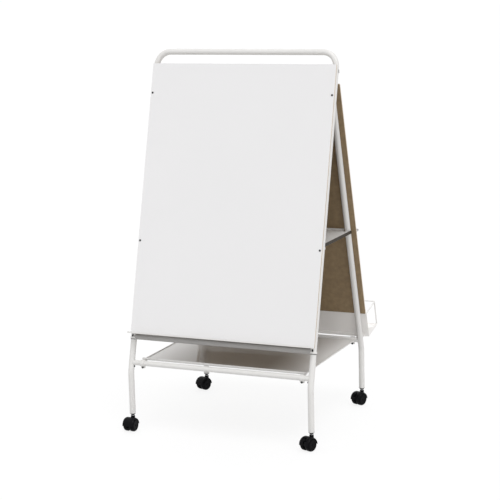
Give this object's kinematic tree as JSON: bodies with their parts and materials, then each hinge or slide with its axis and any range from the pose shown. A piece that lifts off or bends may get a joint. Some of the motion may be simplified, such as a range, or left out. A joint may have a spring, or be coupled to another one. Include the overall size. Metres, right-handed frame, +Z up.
{
  "type": "kids easel",
  "caption": "Rolling two-sided children's easel: leaning tube frames with white writing boards, pen ledge, two shelves, a rear wire tray and twin-wheel swivel casters.",
  "frame": {"origin": "on the floor, at the middle of the whole easel's footprint", "axes": "+X to the right of someone facing the front board, +Y from the front board to the rear board, +Z up"},
  "size_m": [0.7626, 0.7481, 1.3912],
  "materials": {
    "white_powder_coat": "semi-gloss powder coat",
    "spreader_paint": "satin",
    "writing_surface": "gloss",
    "hardboard": "matte",
    "dark_screw": "dark zinc",
    "zinc": "zinc plated",
    "black_plastic": "satin",
    "bright_steel": "bright"
  },
  "bodies": {
    "stand": {"caster_sockets": "black_plastic", "clip_screws": "dark_screw", "crossbar_bolts": "dark_screw", "front_board_core": "hardboard", "front_board_face": "writing_surface", "front_board_screws": "dark_screw", "front_ledge": "white_powder_coat", "front_leg_left": "white_powder_coat", "front_leg_right": "white_powder_coat", "front_lower_crossbar": "white_powder_coat", "front_shelf_clips": "white_powder_coat", "front_upper_crossbar": "white_powder_coat", "front_upper_frame": "white_powder_coat", "hinge_bolts": "zinc", "hinge_nuts": "zinc", "hinge_washers": "zinc", "leg_bushes": "black_plastic", "leg_collars": "white_powder_coat", "leg_joint_screws": "dark_screw", "lower_shelf": "white_powder_coat", "mid_shelf": "white_powder_coat", "mid_shelf_rivets": "zinc", "pad_pegs": "zinc", "rear_board_core": "hardboard", "rear_board_face": "writing_surface", "rear_board_screws": "dark_screw", "rear_leg_left": "white_powder_coat", "rear_leg_right": "white_powder_coat", "rear_lower_crossbar": "white_powder_coat", "rear_shelf_clips": "white_powder_coat", "rear_tray": "white_powder_coat", "spreader_bar_left": "spreader_paint", "spreader_bar_right": "spreader_paint", "spreader_rivets": "zinc", "tray_end_left": "white_powder_coat", "tray_end_right": "white_powder_coat", "tray_screws": "zinc", "tray_wire_rail": "white_powder_coat"},
    "front_left_caster": {"front_left_hood": "black_plastic", "front_left_stem": "bright_steel", "front_left_axle": "bright_steel"},
    "front_left_wheel_a": {"front_left_wheel_a": "black_plastic"},
    "front_left_wheel_b": {"front_left_wheel_b": "black_plastic"},
    "front_right_caster": {"front_right_hood": "black_plastic", "front_right_stem": "bright_steel", "front_right_axle": "bright_steel"},
    "front_right_wheel_a": {"front_right_wheel_a": "black_plastic"},
    "front_right_wheel_b": {"front_right_wheel_b": "black_plastic"},
    "front_right_brake": {"front_right_brake": "black_plastic"},
    "rear_left_caster": {"rear_left_hood": "black_plastic", "rear_left_stem": "bright_steel", "rear_left_axle": "bright_steel"},
    "rear_left_wheel_a": {"rear_left_wheel_a": "black_plastic"},
    "rear_left_wheel_b": {"rear_left_wheel_b": "black_plastic"},
    "rear_right_caster": {"rear_right_hood": "black_plastic", "rear_right_stem": "bright_steel", "rear_right_axle": "bright_steel"},
    "rear_right_wheel_a": {"rear_right_wheel_a": "black_plastic"},
    "rear_right_wheel_b": {"rear_right_wheel_b": "black_plastic"},
    "rear_right_brake": {"rear_right_brake": "black_plastic"}
  },
  "joints": [
    {"name": "front_left_swivel", "type": "hinge", "parent": "stand", "child": "front_left_caster", "pos_m": [-0.3575, -0.32106, 0.0547], "axis": [0, 0, 1], "continuous": true},
    {"name": "front_left_wheel_a_spin", "type": "hinge", "parent": "front_left_caster", "child": "front_left_wheel_a", "pos_m": [-0.35813, -0.33905, 0.0238], "axis": [0.9994, -0.0349, 0], "continuous": true},
    {"name": "front_left_wheel_b_spin", "type": "hinge", "parent": "front_left_caster", "child": "front_left_wheel_b", "pos_m": [-0.35813, -0.33905, 0.0238], "axis": [0.9994, -0.0349, 0], "continuous": true},
    {"name": "front_right_swivel", "type": "hinge", "parent": "stand", "child": "front_right_caster", "pos_m": [0.3575, -0.32106, 0.0547], "axis": [0, 0, 1], "continuous": true},
    {"name": "front_right_wheel_a_spin", "type": "hinge", "parent": "front_right_caster", "child": "front_right_wheel_a", "pos_m": [0.35117, -0.33791, 0.0238], "axis": [0.9361, -0.3518, 0], "continuous": true},
    {"name": "front_right_wheel_b_spin", "type": "hinge", "parent": "front_right_caster", "child": "front_right_wheel_b", "pos_m": [0.35117, -0.33791, 0.0238], "axis": [0.9361, -0.3518, 0], "continuous": true},
    {"name": "front_right_brake_press", "type": "hinge", "parent": "front_right_caster", "child": "front_right_brake", "pos_m": [0.35117, -0.33791, 0.0238], "axis": [0.9361, -0.3518, 0], "range_deg": [0, 28]},
    {"name": "rear_left_swivel", "type": "hinge", "parent": "stand", "child": "rear_left_caster", "pos_m": [-0.334, 0.27106, 0.0547], "axis": [0, 0, 1], "continuous": true},
    {"name": "rear_left_wheel_a_spin", "type": "hinge", "parent": "rear_left_caster", "child": "rear_left_wheel_a", "pos_m": [-0.34033, 0.25421, 0.0238], "axis": [0.9361, -0.3518, 0], "continuous": true},
    {"name": "rear_left_wheel_b_spin", "type": "hinge", "parent": "rear_left_caster", "child": "rear_left_wheel_b", "pos_m": [-0.34033, 0.25421, 0.0238], "axis": [0.9361, -0.3518, 0], "continuous": true},
    {"name": "rear_right_swivel", "type": "hinge", "parent": "stand", "child": "rear_right_caster", "pos_m": [0.334, 0.27106, 0.0547], "axis": [0, 0, 1], "continuous": true},
    {"name": "rear_right_wheel_a_spin", "type": "hinge", "parent": "rear_right_caster", "child": "rear_right_wheel_a", "pos_m": [0.32767, 0.25421, 0.0238], "axis": [0.9361, -0.3518, 0], "continuous": true},
    {"name": "rear_right_wheel_b_spin", "type": "hinge", "parent": "rear_right_caster", "child": "rear_right_wheel_b", "pos_m": [0.32767, 0.25421, 0.0238], "axis": [0.9361, -0.3518, 0], "continuous": true},
    {"name": "rear_right_brake_press", "type": "hinge", "parent": "rear_right_caster", "child": "rear_right_brake", "pos_m": [0.32767, 0.25421, 0.0238], "axis": [0.9361, -0.3518, 0], "range_deg": [-28, 0]}
  ]
}
